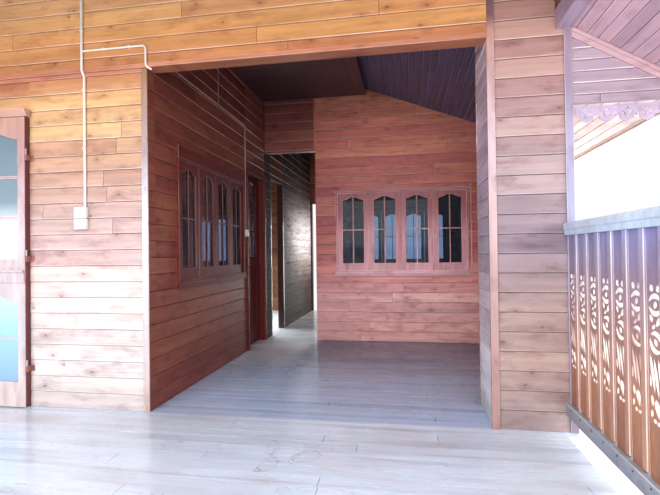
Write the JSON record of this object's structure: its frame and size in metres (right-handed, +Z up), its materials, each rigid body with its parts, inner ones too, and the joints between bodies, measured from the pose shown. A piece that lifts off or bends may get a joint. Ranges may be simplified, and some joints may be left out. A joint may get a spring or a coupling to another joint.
{
  "type": "stilt house",
  "caption": "Timber house on stilts with a gable roof, roofed deck with pierced balustrades, open corner porch, through passage, arched casement windows and hinged glazed doors.",
  "frame": {"origin": "ground level, at the middle of the house's plan under the ridge", "axes": "+X to the right along the front wall, +Y from the deck to the rear along the ridge, +Z up"},
  "size_m": [7.54, 10.35, 6.7732],
  "materials": {
    "concrete": "matt",
    "frame_timber": "matt",
    "floor_wood": "worn varnish",
    "front_boards": "satin varnish",
    "pier_boards": "satin varnish",
    "porch_boards": "satin varnish",
    "outer_boards": "satin varnish",
    "trim_wood": "satin varnish",
    "soffit_boards": "satin varnish",
    "roof_sheets": "matt",
    "ceiling_wood": "satin varnish",
    "window_wood": "satin varnish",
    "dark_glass": "polished",
    "pale_glass": "polished",
    "balustrade_wood": "satin varnish",
    "white_plastic": "satin"
  },
  "bodies": {
    "house": {"footings": "concrete", "stilts": "concrete", "floor_bearers": "frame_timber", "floor_joists": "frame_timber", "deck_floor": "floor_wood", "house_floor": "floor_wood", "front_wall": "front_boards", "front_gable": "front_boards", "corner_pier": "pier_boards", "porch_side_wall": "porch_boards", "porch_side_wall_rear": "porch_boards", "porch_back_wall": "porch_boards", "passage_wall": "porch_boards", "walls_over_doors": "porch_boards", "left_wall": "outer_boards", "right_wall": "outer_boards", "rear_wall": "outer_boards", "rear_gable": "outer_boards", "deck_gable": "front_boards", "corner_boards": "pier_boards", "deck_posts": "trim_wood", "wall_plates": "frame_timber", "tie_beams": "frame_timber", "rafters": "frame_timber", "purlins": "frame_timber", "roof_left": "roof_sheets", "roof_right": "roof_sheets", "ridge_cap": "roof_sheets", "eave_soffits": "soffit_boards", "eave_fascias": "trim_wood", "barge_boards": "trim_wood", "wing_panels": "soffit_boards", "wing_fretwork": "soffit_boards", "ceiling_flat": "ceiling_wood", "ceiling_slope": "ceiling_wood", "ceiling_beam": "ceiling_wood", "porch_window_frames": "window_wood", "porch_casements": "window_wood", "porch_window_glass": "dark_glass", "outer_window_frames": "window_wood", "outer_casements": "window_wood", "outer_window_glass": "dark_glass", "front_door_frame": "window_wood", "side_door_frame": "window_wood", "doorway_linings": "window_wood", "balustrade_right": "balustrade_wood", "balustrade_left": "balustrade_wood", "balustrade_front": "balustrade_wood", "wall_conduit": "white_plastic", "socket_boxes": "white_plastic"},
    "front_leaf_right": {"front_door_right": "window_wood", "front_glass_right": "pale_glass"},
    "front_leaf_left": {"front_door_left": "window_wood", "front_glass_left": "pale_glass"},
    "side_leaf": {"side_door": "window_wood", "side_door_glass": "dark_glass"}
  },
  "joints": [
    {"name": "front_leaf_right_hinge", "type": "hinge", "parent": "house", "child": "front_leaf_right", "pos_m": [-0.725, -1.009, 3.2], "axis": [0, 0, 1], "range_deg": [0, 90]},
    {"name": "front_leaf_left_hinge", "type": "hinge", "parent": "house", "child": "front_leaf_left", "pos_m": [-1.709, -1.009, 3.2], "axis": [0, 0, -1], "range_deg": [0, 90]},
    {"name": "side_leaf_hinge", "type": "hinge", "parent": "house", "child": "side_leaf", "pos_m": [0.107, 1.6505, 3.2], "axis": [0, 0, -1], "range_deg": [0, 90]}
  ]
}
